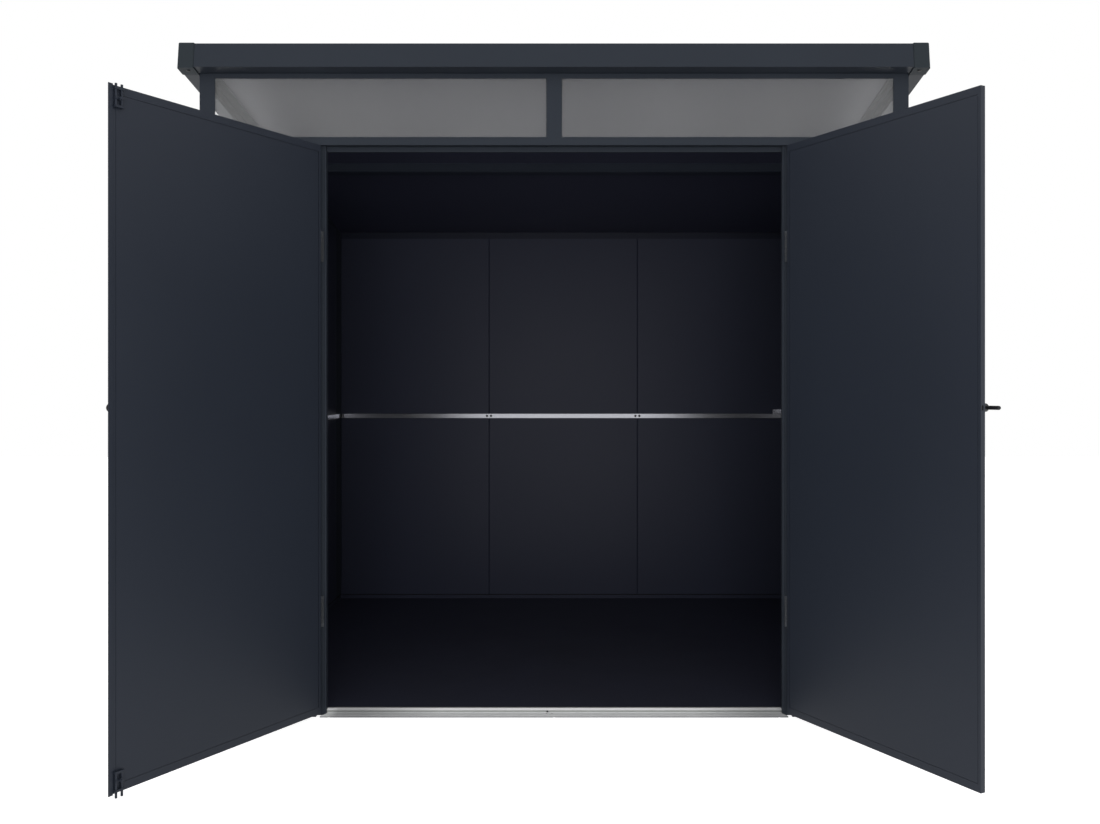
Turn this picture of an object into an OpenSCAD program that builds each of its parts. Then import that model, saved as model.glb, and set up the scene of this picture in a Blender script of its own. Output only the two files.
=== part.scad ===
// Garden shed of folded sheet steel with a single-pitch roof, a glazed band under the roof
// and a pair of doors. Millimetres. The origin is the centre of the wall footprint on the
// ground, +Z is up and the doors are on the -Y side, drawn open as they stand in use.

/* [Walls] */
// Width over the outer faces of the side walls
wall_w = 2310; // [2100:10:2700]
// Depth over the outer faces of the front and back walls
wall_d = 1892; // [1700:4:2300]
// Height of the upper edge of the band rail that runs round the walls
wall_top = 1889; // [1780:1:1990]
// Thickness of the wall panels
wall_t = 34; // [32:1:42]
// Height of the band rail
band_h = 26; // [20:1:40]
// Side of the square corner posts, and width of the middle post
post_w = 50; // [44:1:60]
// Depth of the middle post
mullion_d = 34; // [20:1:34]
// Length of the leg that each rear corner post has along its side wall
rear_leg = 100; // [60:5:160]
// Height of the base rails under the wall panels
base_h = 33; // [25:1:45]
// Height of the trim rail on top of the back wall panels
trim_h = 31; // [24:1:34]
// Play between two neighbouring wall panels
panel_play = 0.4; // [0.2:0.1:1]
// Chamfer on the inner upright edges of the wall panels
seam_in = 3; // [1:0.5:5]
// Chamfer on the outer upright edges of the wall panels
seam_out = 5; // [2:0.5:8]

/* [Roof] */
// Height of the lower front edge of the front fascia above the band rail
front_rise = 213; // [196:1:235]
// How far the roof falls from its front edge to its rear edge
roof_fall = 289; // [262:1:300]
// How far the fascia stands out from the walls, all round
overhang = 52; // [51:0.5:70]
// Height of the fascia
fascia_h = 79.5; // [70:0.5:110]
// Width of the fascia seen from below
fascia_t = 47; // [42:1:47]
// Sheet thickness of the fascia tubes
fascia_wall = 2; // [1.5:0.5:3]
// Height of the roof ledge above the lower edge of the fascia
ledge_z = 32; // [24:1:40]
// Width of the ledge that carries the roof sheets
ledge_w = 14; // [8:1:20]
// Side of the square corner caps
cap_w = 52.5; // [50:0.5:60]
// How far a corner cap stands proud of the fascia at the sides
cap_proud = 1.5; // [0.5:0.5:3]
// How far a corner cap stands above the fascia
cap_rise = 4; // [2:1:8]
// How far a corner cap reaches below the fascia
cap_drop = 4; // [1:0.5:5]
// Radius of the cap's corners and top edges
cap_r = 5; // [3:1:8]
// Sheet thickness of the front posts and the head rails
angle_t = 2.5; // [2:0.5:3]
// Height of the head rail under the roof
head_h = 46; // [36:1:50]
// Height of the purlin under the middle of the roof
purlin_h = 37; // [30:1:60]
// Width of the purlin
purlin_w = 40; // [30:1:60]
// Distance of the purlin from the front wall face, along the roof
purlin_y = 958; // [700:2:1100]
// Thickness of the roof sheets
sheet_t = 1.5; // [1:0.5:2.5]
// How far the roof sheets reach into the gutter
sheet_drip = 6; // [4:1:20]
// Height of the standing seams between the roof sheets
seam_h = 24; // [16:1:34]
// Height of the stiffening ribs on the roof sheets
rib_h = 8; // [4:1:12]
// Distance of a gutter outlet from the inside of the side fascia
outlet_in = 60; // [40:5:200]
// Outer radius of the two gutter outlets
outlet_r = 16; // [12:1:20]
// Length of the gutter outlets below the gutter
outlet_h = 40; // [20:5:80]

/* [Glazing] */
// Thickness of the clear panes
pane_t = 4; // [3:0.5:6]
// How far the panes reach behind the posts and head rails
pane_lap = 8; // [4:1:14]
// Play between a pane and the profiles round it
pane_play = 0.3; // [0.2:0.1:0.8]

/* [Doorway] */
// Width of one door leaf
leaf_w = 768.5; // [640:0.5:880]
// How much narrower the right leaf is
right_short = 5; // [4:0.5:8]
// How far the astragal reaches past the left leaf's free edge
astragal_w = 14; // [12:0.5:20]
// How far the astragal stands past the left leaf at the top and bottom
astragal_z = 2.8; // [0:0.2:3]
// Sheet thickness of the astragal
astragal_t = 1.2; // [1:0.1:2]
// Thickness of a door leaf
leaf_t = 16; // [14:1:17]
// Gap between the two closed leaves
door_gap = 5; // [4:0.5:8]
// Gap between a leaf and the jamb, where the hinge plates lie
hinge_gap = 5; // [5:0.5:7]
// Height of the lower edge of the leaves above the ground
leaf_z = 17; // [14:1:30]
// Gap between the leaves and the band rail above them
head_gap = 5; // [4:0.5:12]
// Angle by which the leaves stand open
door_open = 119; // [0:1:119]
// Distance of the jamb stop behind the front wall face
stop_y = 19; // [19:1:24]
// Width of the jamb stop beside the leaf edge
stop_w = 29; // [20:1:36]
// Distance of the groove in the door stop from the stop's edge
stop_groove_in = 6.5; // [5:0.5:8]
// Width of the groove in the door stop
stop_groove = 1.6; // [1:0.1:2.4]
// Width of the jamb's front face beside the opening
jamb_w = 24; // [16:1:40]
// Depth of the jamb from front to back
jamb_d = 40; // [36:1:48]
// Distance of the head strip and of the sill step behind the front wall face
step_y = 30; // [30:1:34]
// Height of the head strip below the band rail
strip_h = 16; // [10:1:24]
// Height of the sill ledge under the leaves
ledge_h = 5.5; // [4:0.5:5.5]
// Height of the threshold at the back of the sill
tread_h = 19; // [16:0.5:24]
// Width of the sloping face along the front of the threshold
tread_slope = 6.5; // [3:0.5:8]
// Rear edge of the sill behind the front wall face
sill_d = 45; // [42:1:60]
// How far the sill's nose reaches past the jamb stop at each end
sill_lip = 15; // [6:1:20]
// Width of the drainage notches in the sill's nose
notch_w = 6; // [4:1:12]
// How far the nose of the sill stands out from the wall
sill_nose = 6.5; // [3:0.5:14]
// Thickness of the floor panel
floor_h = 14; // [10:0.5:16]
// Distance of the anchor holes from the inner wall faces
anchor_in = 60; // [40:5:120]
// Diameter of the anchor holes
anchor_d = 9; // [7:0.5:12]

/* [Door leaves] */
// Sheet thickness of the leaf's outer tray and inner skin
leaf_sheet = 1.2; // [1:0.1:2]
// Width of the tray's return flange along the top and bottom
flange_z = 22; // [15:1:40]
// Width of the tray's return flange along the upright edges
flange_x = 9; // [6:1:20]
// Gap between the inner skin and the return flange
skin_gap = 1; // [0.5:0.1:2]
// Width of the stiffening ribs behind the inner skin
stiffener_w = 40; // [20:2:80]
// Radius of the hinge pins
pin_r = 3; // [2.5:0.1:3.2]
// Radial play between a hinge pin and its knuckles
pin_play = 0.05; // [0.03:0.01:0.1]
// Radius of the hinge knuckles
knuckle_r = 5.5; // [5:0.1:5.6]
// Distance of the pin axis in front of the leaf's outer face
pin_proud = 6; // [6:0.1:8]
// Length of a hinge
hinge_h = 100; // [70:2:140]
// Height of the lower end of the lower hinges
hinge_low = 290; // [120:5:500]
// Height of the lower end of the upper hinges
hinge_high = 1485; // [1200:5:1650]
// Thickness of the hinge plates
plate_t = 2; // [1.5:0.1:2]
// Width of the hinge plate's leg on the jamb stop
plate_leg = 21; // [12:1:24]

/* [Slide bolts] */
// Radius of the two rods of a slide bolt
rod_r = 3.3; // [2.5:0.1:3.5]
// Radial play between a rod and its guide
rod_play = 0.1; // [0.05:0.01:0.3]
// Distance of the first rod from the leaf's free edge
rod_edge = 5.5; // [5:0.5:9]
// Distance between the two rods of a slide bolt
rod_pitch = 17.5; // [14:0.5:24]
// Distance of the rods in front of the leaf's inner face
rod_stand = 6; // [6:0.1:7]
// How far the upper rods stand above the leaf
rod_up = 4.3; // [2:0.1:4.3]
// How far the lower rods stand below the leaf
rod_down = 10.7; // [4:0.1:10.7]
// Distance of a guide from the leaf's upper or lower edge
guide_rise = 5; // [4:0.5:12]
// Length of a slide-bolt guide
guide_h = 53; // [50:1:80]
// Height of the two saddles of a guide
saddle_h = 6; // [5:0.5:12]
// Radius of the rod holes in the sill and the band rail
rod_hole_r = 4; // [3.6:0.1:4.6]

/* [Lock] */
// Height of the handle, the latch and the pull knob
handle_z = 1019; // [800:5:1200]
// Height of the lock case inside the leaf
case_h = 100; // [60:5:160]
// How far the lock case reaches behind the handle's spindle
case_back = 22; // [12:1:60]
// Distance of the handle from the leaf's free edge
handle_in = 33; // [33:1:48]
// Radius of the handle hub
hub_r = 11.5; // [9:0.5:14]
// Length of the handle hub from the leaf's face
hub_l = 43; // [36:1:60]
// Radius of the handle bar
bar_r = 5.5; // [4:0.5:7]
// Length of the handle bar
bar_l = 106; // [80:2:140]
// Radius of the rose behind the handle
rose_r = 17; // [15:0.5:22]
// Radius of the handle spindle
spindle_r = 4; // [3:0.1:4.5]
// Height of the latch bolt
latch_h = 12; // [8:0.5:18]
// Thickness of the latch bolt
latch_t = 7; // [5:0.5:8]
// Length of the latch bolt
latch_l = 26; // [18:1:26]
// How far the latch bolt lies inside the leaf's edge at rest
latch_in = 1.5; // [0.3:0.1:2.5]
// Radius of the pull knob on the left leaf
knob_r = 12; // [8:0.5:14]
// Distance of the pull knob from the leaf's free edge
knob_in = 19; // [18:1:40]

/* [Shelf rails] */
// Height of the centre of the back and left shelf rails
rail_z = 933; // [700:5:1200]
// Height of a shelf rail
rail_h = 21; // [16:1:30]
// Depth of a shelf rail from the wall
rail_d = 8; // [6:0.5:14]
// Length of the end tab of the right shelf rail
tab_w = 57; // [40:1:90]
// Length of the corner bracket between the back and left shelf rails
bracket_l = 68; // [40:1:100]
// Depth of the groove along a shelf rail
rail_groove = 1.5; // [0.5:0.5:3]
// Radius of the screw heads
screw_r = 3; // [2.5:0.5:4]
// Distance between the two screws of the shelf rail at each wall seam
rail_screws = 20; // [16:1:30]

/* [Hidden] */
$fn = 48;
roof_z = wall_top + front_rise;
roof_pitch = atan(roof_fall / (wall_d + 2 * overhang));
front_y = -wall_d / 2;
back_y = wall_d / 2;
side_x = wall_w / 2;
inner_x = side_x - wall_t;
inner_back = back_y - wall_t;
band_z = wall_top - band_h;
leg_y = inner_back - rear_leg;
post_y = front_y + post_w;
post_x = side_x - post_w;

leaf_edge = door_gap / 2 + leaf_w;
reveal_x = leaf_edge + hinge_gap;
stop_x = reveal_x - stop_w;
groove_x = stop_x + stop_groove_in - stop_groove / 2;
jamb_x = reveal_x + jamb_w;
pin_x = leaf_edge + hinge_gap / 2;
pin_y = front_y - pin_proud;
leaf_top = band_z - head_gap;
leaf_h = leaf_top - leaf_z;
leaf_start = hinge_gap / 2;
leaf_end = leaf_start + leaf_w;
face_in = pin_proud + leaf_t;
cavity_0 = pin_proud + leaf_sheet;
cavity_1 = face_in - leaf_sheet;
right_end = leaf_end - right_short;
seat = 0.3;
cut = 1;
far = 4000;

roof_run = (wall_d + 2 * overhang) / cos(roof_pitch);
roof_x = side_x + overhang;
fascia_in = roof_x - fascia_t;
cap_x = roof_x + cap_proud - cap_w;
cap_y0 = cap_w - cap_proud;
cap_y1 = roof_run - cap_y0;
sheet_n = 3;
sheet_play = 1;
sheet_x = cap_x - sheet_play;
sheet_pitch = 2 * sheet_x / sheet_n;
sheet_z = ledge_z + fascia_wall;
sheet_y0 = fascia_t + sheet_play;
sheet_y1 = roof_run - fascia_t + sheet_drip;
outlet_x = fascia_in - outlet_in;
outlet_y = roof_run - fascia_t / 2;
outlet_wall = 2.5;

rail_x = inner_x - rail_d;
rail_end = inner_back - bracket_l;
tab_z = rail_z + rail_h / 2 + 1;
steel = [0.17, 0.19, 0.22];
aluminium = [0.72, 0.73, 0.73];
black = [0.05, 0.05, 0.06];

// A box between two opposite corners
module block(low, high) translate(low) cube(high - low);

// A copy on the right-hand side
module other_side() mirror([1, 0, 0]) children();

// The roof's own frame: Y runs down the slope from the lower front edge of the fascia,
// and Z stands square to the slope
module on_roof() translate([0, front_y - overhang, roof_z]) rotate([-roof_pitch, 0, 0]) children();

// Everything above a level of the roof's frame
module above_roof(level) on_roof() translate([-far / 2, -far / 4, level]) cube([far, far, far]);

// The space that the front fascia fills, which nothing behind it may enter
module fascia_room() on_roof() translate([-far / 2, fascia_t - far, 0]) cube(far);

// The left leaf's own frame: the pin axis is Z, +X runs to the free edge, +Y faces inwards
module on_leaf() translate([-pin_x, pin_y, 0]) rotate([0, 0, -door_open]) children();

// A wall panel seen from above, with chamfered edges that meet its neighbours in a groove
module panel(width, height) linear_extrude(height) polygon([
    [seam_out, 0], [width - seam_out, 0], [width, seam_out], [width, wall_t - seam_in],
    [width - seam_in, wall_t], [seam_in, wall_t], [0, wall_t - seam_in], [0, seam_out]]);

// Floor and base

module sill() color(aluminium) {
    rows = [[-sill_nose, 0], [-sill_nose, ledge_h - 2], [-sill_nose + 2, ledge_h],
        [step_y, ledge_h], [step_y, tread_h - tread_slope], [step_y + tread_slope, tread_h],
        [sill_d, tread_h], [sill_d, 0], [sill_d - 4, 0], [sill_d - 4, tread_h - 4],
        [step_y + tread_slope, tread_h - 4], [step_y + 4, tread_h - tread_slope - 2],
        [step_y + 4, 0]];
    back = stop_x - seat;
    front = stop_x + sill_lip;
    difference() {
        translate([-front, front_y, 0]) rotate([90, 0, 90])
            linear_extrude(2 * front) polygon(rows);
        for (side = [0, 1]) mirror([side, 0, 0]) translate([0, front_y, -cut])
            linear_extrude(2 * tread_h) polygon([[-front, -sill_nose], [-back, stop_y - seat],
                [-back, sill_d + cut], [-far, sill_d + cut], [-far, -sill_nose]]);
        for (x = [-1, 0, 1]) translate([x * (stop_x - 14), front_y - sill_nose, 0])
            cube([notch_w, 5, 5], center = true);
        rod_holes(ledge_h, [0, -cut, 2 * cut]);
    }
}

// Two upright holes that the rods of a slide bolt drop into when the left leaf is closed
module rod_holes(depth, reach) for (rod = [0, 1])
    translate([-door_gap / 2 - rod_edge - rod * rod_pitch, pin_y + face_in + rod_stand, reach[1]])
        cylinder(h = depth + reach[2], r = rod_hole_r);

module floor_panel() color([0.11, 0.12, 0.14]) difference() {
    union() {
        block([-inner_x, front_y + sill_d, 0], [inner_x, inner_back, floor_h]);
        for (side = [0, 1]) mirror([side, 0, 0])
            block([-inner_x, front_y + jamb_d, 0], [-jamb_x - 2 * seat, front_y + sill_d, floor_h]);
    }
    for (side = [-1, 1]) for (y = [front_y + jamb_d + anchor_in, inner_back - anchor_in])
        translate([side * (inner_x - anchor_in), y, -cut])
            cylinder(h = floor_h + 2 * cut, d = anchor_d);
    for (side = [0, 1]) mirror([side, 0, 0])
        block([-side_x, front_y, -cut], [-side_x + post_w, post_y, floor_h + cut]);
}

module base_rails() color(steel) {
    for (side = [0, 1]) mirror([side, 0, 0]) {
        block([-side_x, post_y, 0], [-inner_x, leg_y, base_h]);
        block([-post_x, front_y, 0], [-jamb_x, front_y + wall_t, base_h]);
    }
    block([-inner_x, inner_back, 0], [inner_x, back_y, base_h]);
}

// Posts and wall panels

// A square tube up to the wall's top, and from there an open angle beside the panes
module post_front() difference() {
    linear_extrude(roof_z + 2 * fascia_h) difference() {
        translate([-side_x, front_y]) square([post_w, post_w]);
        translate([-side_x + angle_t, front_y + angle_t])
            square([post_w - 2 * angle_t, post_w - 2 * angle_t]);
    }
    block([-side_x + angle_t, front_y + angle_t, wall_top],
        [-post_x + cut, post_y + cut, roof_z + 2 * fascia_h]);
    above_roof(ledge_z);
    fascia_room();
}

module post_front_left() color(steel) post_front();
module post_front_right() color(steel) other_side() post_front();

module post_rear() difference() {
    linear_extrude(roof_z) union() {
        translate([-side_x, inner_back]) square([wall_t, wall_t]);
        translate([-side_x, leg_y]) square([wall_t, rear_leg]);
    }
    above_roof(ledge_z);
}

module post_rear_left() color(steel) post_rear();
module post_rear_right() color(steel) other_side() post_rear();

module front_panel() translate([-post_x, front_y, base_h]) panel(post_x - jamb_x, band_z - base_h);

module front_panel_left() color(steel) front_panel();
module front_panel_right() color(steel) other_side() front_panel();

module side_panels() {
    width = (leg_y - post_y - panel_play) / 2;
    for (i = [0, 1])
        translate([-side_x, post_y + width + i * (width + panel_play), base_h]) rotate([0, 0, -90])
            panel(width, band_z - base_h);
}

module side_panels_left() color(steel) side_panels();
module side_panels_right() color(steel) other_side() side_panels();

back_w = 2 * inner_x / 3;
trim_z = roof_z - (wall_d - wall_t + overhang) * tan(roof_pitch);

module back_panel(i) color(steel)
    translate([inner_x - i * back_w, back_y, base_h]) rotate([0, 0, 180])
        panel(back_w, trim_z - base_h);

module back_panel_left() back_panel(2);
module back_panel_middle() back_panel(1);
module back_panel_right() back_panel(0);

// Band rails, trim and the frame of the doorway

module band_rail_front() color(steel) difference() {
    block([-post_x, front_y, band_z], [post_x, front_y + wall_t, wall_top]);
    rod_holes(16, [0, band_z - cut, cut]);
}

module band_rail_side() difference() {
    block([-side_x, post_y, band_z], [-inner_x, leg_y, wall_top]);
    above_roof(ledge_z);
}

module band_rail_left() color(steel) band_rail_side();
module band_rail_right() color(steel) other_side() band_rail_side();

module trim_rail_back() color(steel) difference() {
    block([-inner_x, inner_back, trim_z], [inner_x, back_y, trim_z + 2 * ledge_z]);
    above_roof(ledge_z);
}

module jamb() linear_extrude(band_z) polygon([
    [-jamb_x, front_y], [-reveal_x, front_y], [-reveal_x, front_y + stop_y],
    [-groove_x - stop_groove, front_y + stop_y], [-groove_x - stop_groove, front_y + stop_y + 2],
    [-groove_x, front_y + stop_y + 2], [-groove_x, front_y + stop_y],
    [-stop_x, front_y + stop_y], [-stop_x, front_y + jamb_d], [-jamb_x, front_y + jamb_d]]);

module jamb_left() color(steel) jamb();
module jamb_right() color(steel) other_side() jamb();

module head_strip() color(steel)
    block([-stop_x, front_y + step_y, band_z - strip_h], [stop_x, front_y + jamb_d, band_z]);

module mullion() color(steel) difference() {
    block([-post_w / 2, front_y, wall_top], [post_w / 2, front_y + mullion_d, roof_z + fascia_h]);
    above_roof(ledge_z - head_h);
}

// Head rails under the roof

// Everything below the top flange of a head rail
module below_flange() on_roof() translate([-far / 2, -far / 4, ledge_z - angle_t - far]) cube(far);

module head_rail_front() color(steel) difference() {
    block([-post_x, front_y, wall_top], [post_x, front_y + wall_t, roof_z + 2 * fascia_h]);
    above_roof(ledge_z);
    fascia_room();
    on_roof() translate([-far / 2, -far / 4, ledge_z - head_h - far]) cube(far);
    intersection() {
        below_flange();
        translate([-far / 2, front_y + angle_t, 0]) cube(far);
    }
}

module head_rail_side() difference() {
    block([-side_x, post_y, wall_top], [-inner_x, leg_y, roof_z + 2 * fascia_h]);
    above_roof(ledge_z);
    on_roof() translate([-far / 2, -far / 4, ledge_z - head_h - far]) cube(far);
    intersection() {
        below_flange();
        translate([-side_x + angle_t, -far / 2, 0]) cube(far);
    }
}

module head_rail_left() color(steel) head_rail_side();
module head_rail_right() color(steel) other_side() head_rail_side();

// Panes

pane_in = angle_t + pane_play;

module front_pane() difference() {
    block([-post_x - pane_lap, front_y + pane_in, wall_top + pane_play],
        [-post_w / 2 - pane_play, front_y + pane_in + pane_t, roof_z + fascia_h]);
    above_roof(ledge_z - head_h + pane_lap);
}

module side_pane() difference() {
    block([-side_x + pane_in, post_y - pane_lap, wall_top + pane_play],
        [-side_x + pane_in + pane_t, leg_y, roof_z + fascia_h]);
    above_roof(ledge_z - head_h + pane_lap);
}

module front_pane_left() color([0.8, 0.85, 0.88, 0.4]) front_pane();
module front_pane_right() color([0.8, 0.85, 0.88, 0.4]) other_side() front_pane();
module side_pane_left() color([0.8, 0.85, 0.88, 0.4]) side_pane();
module side_pane_right() color([0.8, 0.85, 0.88, 0.4]) other_side() side_pane();

// Shelf rails

// A rail section with a shallow groove along its face: X is the depth, Y the height
module rail_section() difference() {
    square([rail_d, rail_h]);
    translate([rail_d - rail_groove, rail_h * 0.28]) square([rail_groove + cut, rail_h * 0.44]);
}

module shelf_rail_back() color(aluminium)
    translate([-rail_x, inner_back, rail_z - rail_h / 2]) rotate([90, 0, 90])
        linear_extrude(2 * rail_x) mirror([1, 0]) rail_section();

module side_rail(height, y0, y1) translate([-inner_x, y1, height - rail_h / 2])
    rotate([90, 0, 0]) linear_extrude(y1 - y0) rail_section();

module shelf_rail_left() color(aluminium) side_rail(rail_z, post_y, rail_end);

module shelf_rail_right() color(aluminium) {
    other_side() side_rail(tab_z + rail_h / 2, post_y, inner_back - 2);
    difference() {
        block([rail_x - tab_w, inner_back - 2, tab_z], [inner_x, inner_back, tab_z + rail_h]);
        translate([rail_x - tab_w + 7, inner_back - 3, tab_z + rail_h / 2]) rotate([-90, 0, 0])
            cylinder(h = 4, r = screw_r);
    }
}

module rail_corner_bracket() color(black) {
    block([-inner_x, rail_end, rail_z - rail_h / 2 + 1],
        [-inner_x + 3, inner_back, rail_z + rail_h / 2 - 1]);
    block([-inner_x + 3, inner_back - rail_d, rail_z - rail_h / 2 + 1],
        [-rail_x, inner_back, rail_z + rail_h / 2 - 1]);
}

// A pan-head screw head with its face at Z = 0, standing up
module screw_head(r = screw_r) difference() {
    cylinder(h = 2, r1 = r, r2 = r * 0.8);
    translate([0, 0, 1]) cylinder(h = 2, r = r * 0.45, $fn = 6);
}

module frame_screws() color(black) {
    // The rail's screws have wide heads that bear on both lips of its groove
    for (seam = [-1, 1]) for (side = [-1, 1])
        translate([(seam * back_w + side * rail_screws) / 2, inner_back - rail_d, rail_z])
            rotate([90, 0, 0]) screw_head(rail_h * 0.265);
    for (side = [-1, 1]) for (y = [0, 1])
        on_roof() translate([side * (roof_x - 32), y == 0 ? 17 : roof_run - 17, -cap_drop])
            mirror([0, 0, 1]) screw_head();
    translate([-rod_pitch - 5.5, front_y + step_y, (ledge_h + tread_h - tread_slope) / 2])
        rotate([90, 0, 0]) screw_head();
}

// Roof frame

// The hollow fascia section: X runs inwards from the outer face, Y is up
module fascia_section() {
    difference() {
        square([fascia_t, fascia_h]);
        translate([fascia_wall, fascia_wall])
            square([fascia_t - 2 * fascia_wall, fascia_h - 2 * fascia_wall]);
    }
}

module ledge_section() translate([fascia_t, ledge_z]) square([ledge_w, fascia_wall]);

module fascia_front() color(steel) on_roof() {
    translate([-cap_x, 0, 0]) rotate([90, 0, 90]) linear_extrude(2 * cap_x) fascia_section();
    translate([-fascia_in + ledge_w + seat, 0, 0]) rotate([90, 0, 90])
        linear_extrude(2 * (fascia_in - ledge_w - seat)) ledge_section();
}

module fascia_side() on_roof() translate([-roof_x, cap_y1, 0]) rotate([90, 0, 0])
    linear_extrude(cap_y1 - cap_y0) {
        fascia_section();
        ledge_section();
    }

module fascia_left() color(steel) fascia_side();
module fascia_right() color(steel) other_side() fascia_side();

// The rear fascia is open on top and carries the water to two outlets
module gutter_fascia() color(steel) on_roof() difference() {
    union() {
        translate([cap_x, roof_run, 0]) rotate([90, 0, -90]) linear_extrude(2 * cap_x)
            difference() {
                square([fascia_t, fascia_h]);
                translate([fascia_wall, fascia_wall])
                    square([fascia_t - 2 * fascia_wall, fascia_h]);
                translate([fascia_wall, sheet_z]) square([fascia_t, fascia_h]);
            }
        translate([fascia_in - ledge_w - seat, roof_run, 0]) rotate([90, 0, -90])
            linear_extrude(2 * (fascia_in - ledge_w - seat)) ledge_section();
    }
    for (side = [-1, 1]) translate([side * outlet_x, outlet_y, -cut])
        cylinder(h = fascia_wall + 2 * cut, r = outlet_r);
}

module gutter_outlets() color(steel) on_roof() for (side = [-1, 1])
    translate([side * outlet_x, outlet_y, -outlet_h]) difference() {
        union() {
            cylinder(h = outlet_h + fascia_wall, r = outlet_r);
            translate([0, 0, outlet_h + fascia_wall]) cylinder(h = 2, r = outlet_r + 4);
        }
        translate([0, 0, -cut])
            cylinder(h = outlet_h + fascia_wall + 2 + 2 * cut, r = outlet_r - outlet_wall);
    }

// A corner cap with rounded upright edges and a rounded top
module corner_cap() {
    size = cap_w - 2 * cap_r;
    top = fascia_h + cap_rise - cap_r;
    translate([-roof_x - cap_proud + cap_r, -cap_proud + cap_r, 0]) hull() {
        for (x = [0, size]) for (y = [0, size]) translate([x, y, 0]) {
            translate([0, 0, -cap_drop]) cylinder(h = 1, r = cap_r, $fn = 24);
            translate([0, 0, top]) sphere(r = cap_r, $fn = 24);
        }
    }
}

module corner_caps() color(steel) on_roof() for (side = [0, 1]) mirror([side, 0, 0]) {
    corner_cap();
    translate([0, roof_run, 0]) mirror([0, 1, 0]) corner_cap();
}

// The purlin is a closed channel with a sloping lip along its lower front edge
module purlin() color(steel) on_roof() translate([-inner_x, purlin_y, sheet_z - purlin_h])
    rotate([90, 0, 90]) linear_extrude(2 * inner_x) difference() {
        polygon([[0, purlin_h], [0, 6], [-3, 3], [-3, 2.5], [0, 0], [purlin_w, 0],
            [purlin_w, purlin_h]]);
        translate([2, 2]) square([purlin_w - 4, purlin_h - 4]);
    }

// A hollow stiffening rib on a roof sheet, centred on X = 0
module sheet_rib() difference() {
    polygon([[-20, 0], [20, 0], [20, sheet_t], [11, rib_h + sheet_t], [-11, rib_h + sheet_t],
        [-20, sheet_t]]);
    polygon([[-17, sheet_t], [17, sheet_t], [10, rib_h], [-10, rib_h]]);
}

// One roof sheet: upstands at both edges, two ribs, and a hook over the next sheet's upstand
module sheet_section(hooked) {
    inner = sheet_pitch - sheet_play;
    square([inner, sheet_t]);
    for (i = [1, 2]) translate([i * sheet_pitch / 3, 0]) sheet_rib();
    square([sheet_t, seam_h - sheet_t - 1]);
    translate([inner - sheet_t, 0]) square([sheet_t, seam_h]);
    if (hooked) {
        translate([inner - sheet_t, seam_h - sheet_t])
            square([3 * sheet_t + 2 * sheet_play, sheet_t]);
        translate([inner + sheet_t + 2 * sheet_play, seam_h - 10]) square([sheet_t, 10]);
    }
}

module roof_sheets() color(steel) on_roof() for (i = [0 : sheet_n - 1])
    translate([-sheet_x + i * sheet_pitch + sheet_play / 2, sheet_y1, sheet_z]) rotate([90, 0, 0])
        linear_extrude(sheet_y1 - sheet_y0) sheet_section(i < sheet_n - 1);

// Door hinges, drawn on the left leaf's pin axis

knuckle_h = hinge_h * 0.3;
knuckle_gap = 0.5;
hinge_places = [hinge_low, hinge_high];

module knuckle(z0, z1) translate([0, 0, z0]) difference() {
    cylinder(h = z1 - z0, r = knuckle_r);
    translate([0, 0, -cut]) cylinder(h = z1 - z0 + 2 * cut, r = pin_r + pin_play);
}

// The bore again, through the web that joins the plate to a knuckle
module web(x0, z0, z1) difference() {
    block([x0, 0, z0], [x0 + plate_t, pin_proud + cut, z1]);
    translate([0, 0, z0 - cut]) cylinder(h = z1 - z0 + 2 * cut, r = pin_r + pin_play);
}

module frame_hinge() {
    x0 = -hinge_gap / 2;
    stop = pin_proud + stop_y;
    for (z = [0, hinge_h - knuckle_h]) {
        knuckle(z, z + knuckle_h);
        web(x0, z, z + knuckle_h);
    }
    block([x0, pin_proud, 0], [x0 + plate_t, stop, hinge_h]);
    block([x0, stop - plate_t, 0], [x0 + plate_leg, stop, hinge_h]);
}

module leaf_hinge() {
    x0 = hinge_gap / 2 - plate_t;
    z0 = knuckle_h + knuckle_gap;
    z1 = hinge_h - knuckle_h - knuckle_gap;
    knuckle(z0, z1);
    web(x0, z0, z1);
    block([x0, pin_proud + 0.6, 0], [x0 + plate_t, face_in - 1, hinge_h]);
}

module frame_hinges() for (z = hinge_places) translate([-pin_x, pin_y, z]) frame_hinge();

module frame_hinges_left() color(aluminium) frame_hinges();
module frame_hinges_right() color(aluminium) other_side() frame_hinges();

module hinge_pins() color(aluminium) for (side = [-1, 1]) for (z = hinge_places)
    translate([side * pin_x, pin_y, z - 1.5]) {
        cylinder(h = 1.5, r = knuckle_r - 1);
        cylinder(h = hinge_h + 3, r = pin_r);
        translate([0, 0, hinge_h + 1.5]) cylinder(h = 1.5, r = knuckle_r - 1);
    }

module leaf_hinges() on_leaf() for (z = hinge_places) translate([0, 0, z]) leaf_hinge();

module left_leaf_hinges() color(aluminium) leaf_hinges();
module right_leaf_hinges() color(aluminium) other_side() leaf_hinges();

// Door leaves, drawn in the left leaf's frame

latch_y = cavity_1 - latch_t / 2 - 1.3;
latch_slot = 0.5;

// The space that the latch bolt moves through, from a depth inside an edge to beyond it
module latch_way(edge, depth, play) block(
    [edge - depth, latch_y - latch_t / 2 - play, handle_z - latch_h / 2 - play],
    [edge + 2 * leaf_sheet, latch_y + latch_t / 2 + play, handle_z + latch_h / 2 + play]);

module leaf_tray(end) difference() {
    block([leaf_start, pin_proud, leaf_z], [end, face_in, leaf_top]);
    block([leaf_start + leaf_sheet, cavity_0, leaf_z + leaf_sheet],
        [end - leaf_sheet, cavity_1, leaf_top - leaf_sheet]);
    block([leaf_start + flange_x, cavity_0, leaf_z + flange_z],
        [end - flange_x, face_in + cut, leaf_top - flange_z]);
    latch_way(end, 2 * leaf_sheet, latch_slot);
}

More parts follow.
